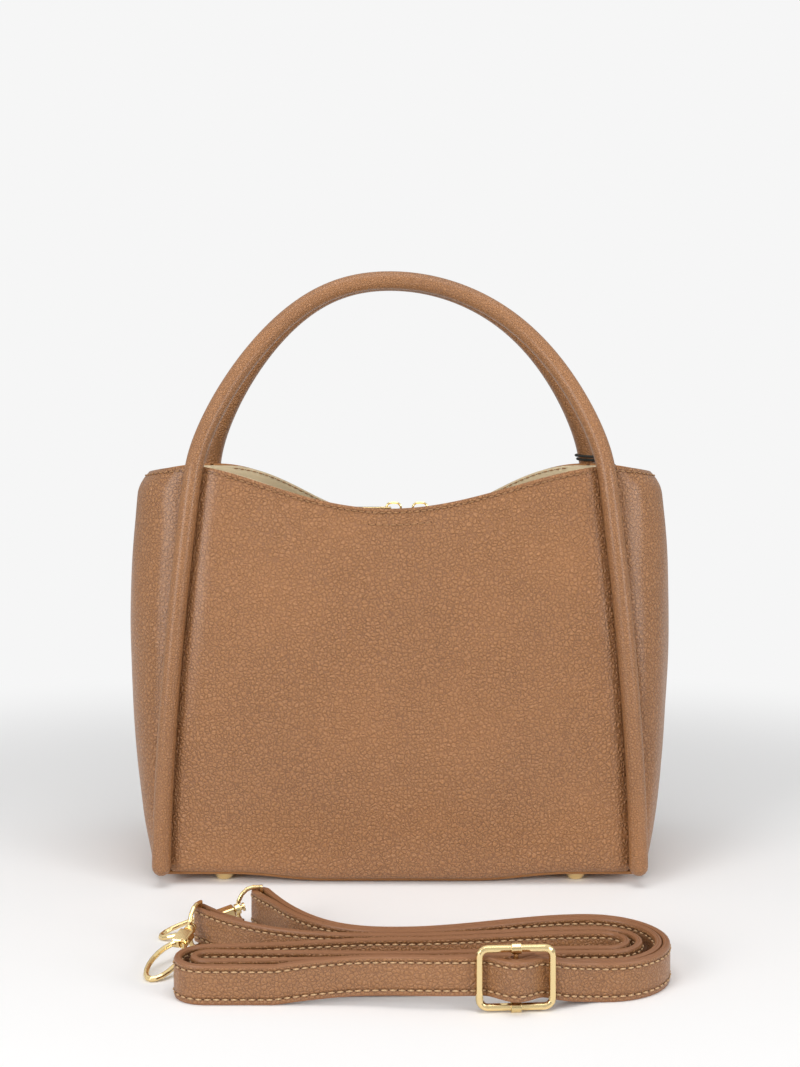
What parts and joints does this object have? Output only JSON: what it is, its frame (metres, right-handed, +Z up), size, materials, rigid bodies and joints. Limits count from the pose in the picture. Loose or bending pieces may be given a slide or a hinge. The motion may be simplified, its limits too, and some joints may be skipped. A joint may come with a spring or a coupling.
{
  "type": "tote bag",
  "caption": "Leather tote bag with rolled handles that run down its corners, bulging gussets, a zipped middle compartment, metal feet and a detached folded shoulder strap.",
  "frame": {"origin": "on the floor, under the middle of the bag and its strap together, the hanging tag left out", "axes": "+Z up, -Y out of the front of the bag, +X to the right as seen from the front"},
  "size_m": [0.2998, 0.311, 0.328],
  "materials": {
    "tan_leather": "pebbled satin",
    "lining_cloth": "matt",
    "gold_metal": "polished",
    "filler_cord": "matt",
    "board": "matt",
    "elastic": "matt",
    "tag_card": "matt"
  },
  "bodies": {
    "bag": {"front_panel": "tan_leather", "back_panel": "tan_leather", "right_gusset": "tan_leather", "left_gusset": "tan_leather", "base_panel": "tan_leather", "base_board": "board", "foot_front_left": "gold_metal", "washer_front_left": "gold_metal", "foot_front_right": "gold_metal", "washer_front_right": "gold_metal", "foot_back_left": "gold_metal", "washer_back_left": "gold_metal", "foot_back_right": "gold_metal", "washer_back_right": "gold_metal", "front_left_roll": "tan_leather", "front_left_roll_cord": "filler_cord", "front_right_roll": "tan_leather", "front_right_roll_cord": "filler_cord", "back_left_roll": "tan_leather", "back_left_roll_cord": "filler_cord", "back_right_roll": "tan_leather", "back_right_roll_cord": "filler_cord", "lining": "lining_cloth", "compartment_front_wall": "lining_cloth", "zip_tape_front": "lining_cloth", "zip_teeth_front": "gold_metal", "compartment_back_wall": "lining_cloth", "zip_tape_back": "lining_cloth", "zip_teeth_back": "gold_metal", "zip_stop_left": "gold_metal", "zip_stop_right": "gold_metal", "snap_front": "gold_metal", "snap_socket_front": "gold_metal", "snap_back": "gold_metal", "snap_socket_back": "gold_metal", "ring_tab_right": "tan_leather", "ring_tab_left": "tan_leather", "tag_elastic": "elastic", "swing_tag": "tag_card"},
    "front_handle": {"front_handle": "tan_leather", "front_handle_cord": "filler_cord"},
    "back_handle": {"back_handle": "tan_leather", "back_handle_cord": "filler_cord"},
    "slider_left": {"zip_slider_left": "gold_metal"},
    "pull_left": {"zip_pull_left": "gold_metal"},
    "slider_right": {"zip_slider_right": "gold_metal"},
    "pull_right": {"zip_pull_right": "gold_metal"},
    "ring_right": {"d_ring_right": "gold_metal"},
    "ring_left": {"d_ring_left": "gold_metal"},
    "strap": {"shoulder_strap": "tan_leather", "slide_frame": "gold_metal", "slide_bar": "gold_metal"},
    "loop_1": {"hook_loop_1": "gold_metal"},
    "hook_1": {"hook_body_1": "gold_metal", "hook_pin_1": "gold_metal"},
    "gate_1": {"hook_gate_1": "gold_metal"},
    "loop_2": {"hook_loop_2": "gold_metal"},
    "hook_2": {"hook_body_2": "gold_metal", "hook_pin_2": "gold_metal"},
    "gate_2": {"hook_gate_2": "gold_metal"}
  },
  "joints": [
    {"name": "front_handle_fold", "type": "hinge", "parent": "bag", "child": "front_handle", "pos_m": [0, 0.04571, 0.22], "axis": [1, 0, 0], "range_deg": [0, 45]},
    {"name": "back_handle_fold", "type": "hinge", "parent": "bag", "child": "back_handle", "pos_m": [0, 0.12571, 0.22], "axis": [-1, 0, 0], "range_deg": [0, 45]},
    {"name": "slider_left_travel", "type": "slide", "parent": "bag", "child": "slider_left", "axis": [-1, 0, 0], "range_m": [0, 0.0774]},
    {"name": "pull_left_lift", "type": "hinge", "parent": "slider_left", "child": "pull_left", "pos_m": [-0.0056, 0.08571, 0.1956], "axis": [0, 1, 0], "range_deg": [0, 90]},
    {"name": "ring_left_swing", "type": "hinge", "parent": "bag", "child": "ring_left", "pos_m": [-0.1382, 0.08571, 0.20655], "axis": [0, -1, 0], "range_deg": [0, 120]},
    {"name": "slider_right_travel", "type": "slide", "parent": "bag", "child": "slider_right", "axis": [1, 0, 0], "range_m": [0, 0.0697]},
    {"name": "pull_right_lift", "type": "hinge", "parent": "slider_right", "child": "pull_right", "pos_m": [0.0133, 0.08571, 0.1956], "axis": [0, -1, 0], "range_deg": [0, 90]},
    {"name": "ring_right_swing", "type": "hinge", "parent": "bag", "child": "ring_right", "pos_m": [0.1382, 0.08571, 0.20655], "axis": [0, 1, 0], "range_deg": [0, 120]},
    {"name": "strap_lift", "type": "slide", "parent": "bag", "child": "strap", "axis": [0, 0, 1], "range_m": [0, 0.3]},
    {"name": "loop_1_swing", "type": "hinge", "parent": "strap", "child": "loop_1", "pos_m": [-0.09261, -0.06958, 0.0109], "axis": [0, 0, 1], "range_deg": [-45, 14]},
    {"name": "hook_1_swivel", "type": "hinge", "parent": "loop_1", "child": "hook_1", "pos_m": [-0.09636, -0.08046, 0.0109], "axis": [-0.3148, -0.9143, -0.255], "continuous": true},
    {"name": "gate_1_open", "type": "hinge", "parent": "hook_1", "child": "gate_1", "pos_m": [-0.09785, -0.09072, 0.00821], "axis": [0.083, 0.2411, -0.967], "range_deg": [0, 25], "stiffness_Nm_per_rad": 0.01, "springref_deg": -11.46},
    {"name": "loop_2_swing", "type": "hinge", "parent": "strap", "child": "loop_2", "pos_m": [-0.06663, -0.04573, 0.0109], "axis": [0, 0, 1], "range_deg": [-45, 5]},
    {"name": "hook_2_swivel", "type": "hinge", "parent": "loop_2", "child": "hook_2", "pos_m": [-0.0776, -0.04919, 0.0109], "axis": [-0.9222, -0.2908, -0.255], "continuous": true},
    {"name": "gate_2_open", "type": "hinge", "parent": "hook_2", "child": "gate_2", "pos_m": [-0.08674, -0.05409, 0.00821], "axis": [0.2432, 0.0767, -0.967], "range_deg": [0, 25], "stiffness_Nm_per_rad": 0.01, "springref_deg": -11.46}
  ]
}
